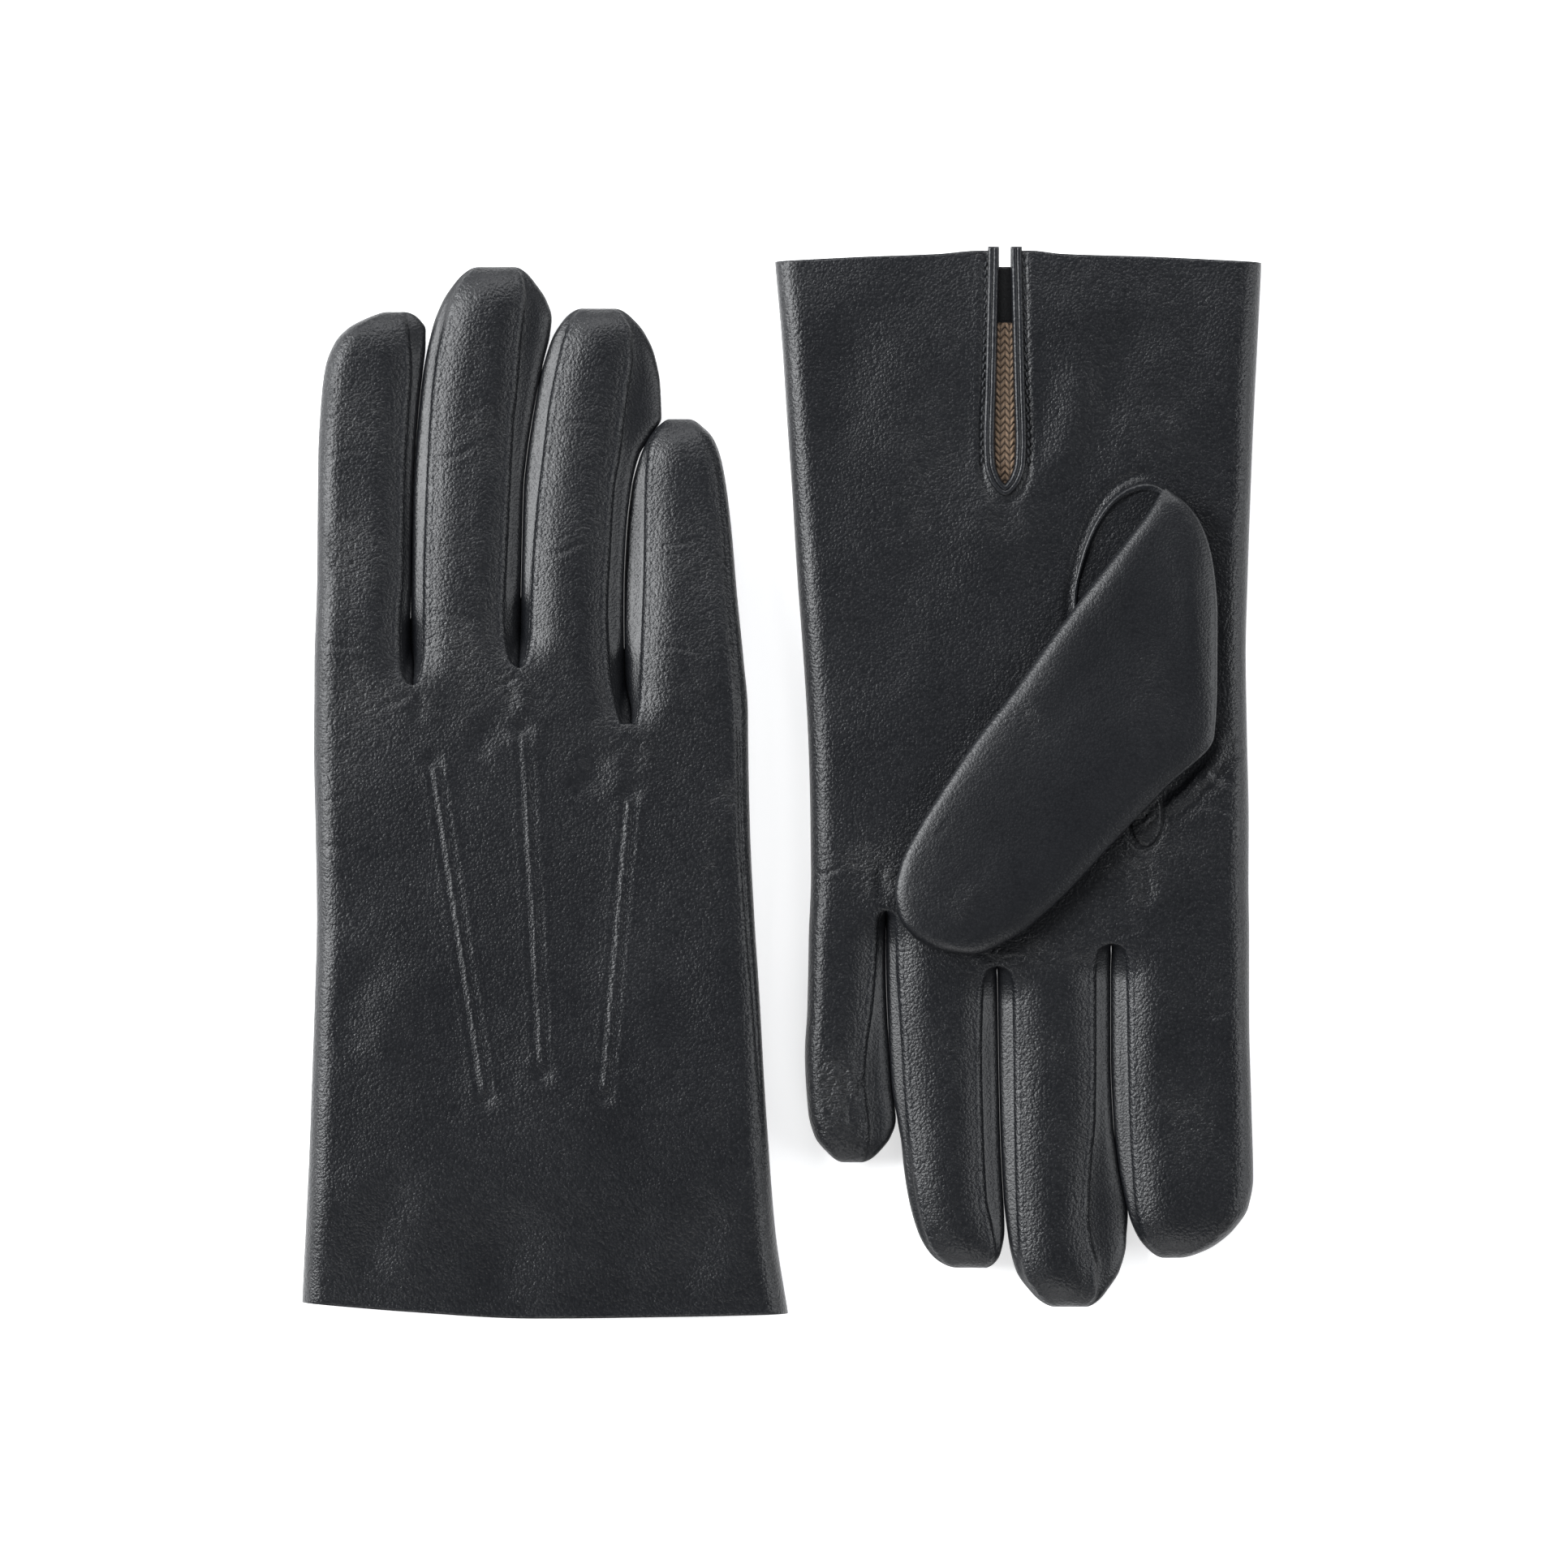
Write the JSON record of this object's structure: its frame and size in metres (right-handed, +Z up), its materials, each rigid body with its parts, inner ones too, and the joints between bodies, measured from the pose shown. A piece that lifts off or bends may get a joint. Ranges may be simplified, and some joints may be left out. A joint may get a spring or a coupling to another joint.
{
  "type": "gloves",
  "caption": "Pair of gentleman's black leather dress gloves with knitted lining, raised points on the back and a vent at the cuff",
  "frame": {"origin": "middle of the bounding box at its base, on the surface that the gloves lie on", "axes": "+X across the pair from the right-hand glove to the left-hand glove, +Y from the right-hand glove's cuff to its fingertips, +Z up"},
  "size_m": [0.231, 0.253, 0.021],
  "materials": {
    "leather": "satin",
    "leather_facing": "satin",
    "knit": "matte",
    "thread": "matte"
  },
  "bodies": {
    "right_hand": {"right_trank": "leather", "right_hand_lining": "knit", "right_hem_facing": "leather_facing", "right_vent_binding": "leather_facing", "right_vent_stitching": "thread", "right_points": "leather", "right_point_stitching": "thread", "right_outseam": "leather", "right_thumb_seam": "leather", "right_quirk": "leather"},
    "left_hand": {"left_trank": "leather", "left_hand_lining": "knit", "left_hem_facing": "leather_facing", "left_vent_binding": "leather_facing", "left_vent_stitching": "thread", "left_points": "leather", "left_point_stitching": "thread", "left_outseam": "leather", "left_thumb_seam": "leather", "left_quirk": "leather"},
    "right_index_finger": {"right_index_stall": "leather", "right_index_lining": "knit", "right_index_outer_fourchette": "leather"},
    "right_middle_finger": {"right_middle_stall": "leather", "right_middle_lining": "knit", "right_middle_outer_fourchette": "leather", "right_middle_inner_fourchette": "leather"},
    "right_ring_finger": {"right_ring_stall": "leather", "right_ring_lining": "knit", "right_ring_outer_fourchette": "leather", "right_ring_inner_fourchette": "leather"},
    "right_little_finger": {"right_little_stall": "leather", "right_little_lining": "knit", "right_little_inner_fourchette": "leather"},
    "right_thumb": {"right_thumb_stall": "leather", "right_thumb_lining": "knit"},
    "left_index_finger": {"left_index_stall": "leather", "left_index_lining": "knit", "left_index_outer_fourchette": "leather"},
    "left_middle_finger": {"left_middle_stall": "leather", "left_middle_lining": "knit", "left_middle_outer_fourchette": "leather", "left_middle_inner_fourchette": "leather"},
    "left_ring_finger": {"left_ring_stall": "leather", "left_ring_lining": "knit", "left_ring_outer_fourchette": "leather", "left_ring_inner_fourchette": "leather"},
    "left_little_finger": {"left_little_stall": "leather", "left_little_lining": "knit", "left_little_inner_fourchette": "leather"},
    "left_thumb": {"left_thumb_stall": "leather", "left_thumb_lining": "knit"}
  },
  "joints": [
    {"name": "right_index_flex", "type": "hinge", "parent": "right_hand", "child": "right_index_finger", "pos_m": [-0.1011, 0.0377, 0.008], "axis": [-1, 0, 0], "range_deg": [0, 75]},
    {"name": "right_middle_flex", "type": "hinge", "parent": "right_hand", "child": "right_middle_finger", "pos_m": [-0.07669, 0.0427, 0.008], "axis": [-1, 0, 0], "range_deg": [0, 75]},
    {"name": "right_ring_flex", "type": "hinge", "parent": "right_hand", "child": "right_ring_finger", "pos_m": [-0.05114, 0.0427, 0.008], "axis": [-1, 0, 0], "range_deg": [0, 75]},
    {"name": "right_little_flex", "type": "hinge", "parent": "right_hand", "child": "right_little_finger", "pos_m": [-0.02313, 0.0302, 0.008], "axis": [-1, 0, 0], "range_deg": [0, 75]},
    {"name": "right_thumb_unfold", "type": "hinge", "parent": "right_hand", "child": "right_thumb", "pos_m": [-0.1007, -0.0285, 0.0036], "axis": [0, 1, 0], "range_deg": [0, 150]},
    {"name": "left_index_flex", "type": "hinge", "parent": "left_hand", "child": "left_index_finger", "pos_m": [0.0963, -0.0377, 0.0126], "axis": [-1, 0, 0], "range_deg": [0, 75]},
    {"name": "left_middle_flex", "type": "hinge", "parent": "left_hand", "child": "left_middle_finger", "pos_m": [0.06595, -0.0427, 0.0126], "axis": [-1, 0, 0], "range_deg": [0, 75]},
    {"name": "left_ring_flex", "type": "hinge", "parent": "left_hand", "child": "left_ring_finger", "pos_m": [0.0387, -0.0427, 0.0126], "axis": [-1, 0, 0], "range_deg": [0, 75]},
    {"name": "left_little_flex", "type": "hinge", "parent": "left_hand", "child": "left_little_finger", "pos_m": [0.0151, -0.0302, 0.0126], "axis": [-1, 0, 0], "range_deg": [0, 75]},
    {"name": "left_thumb_unfold", "type": "hinge", "parent": "left_hand", "child": "left_thumb", "pos_m": [0.1007, 0.0285, 0.0166], "axis": [0, 1, 0], "range_deg": [0, 150]},
    {"name": "left_glove_lift", "type": "slide", "parent": "right_hand", "child": "left_hand", "axis": [0, 0, 1], "range_m": [0, 0.12]}
  ]
}
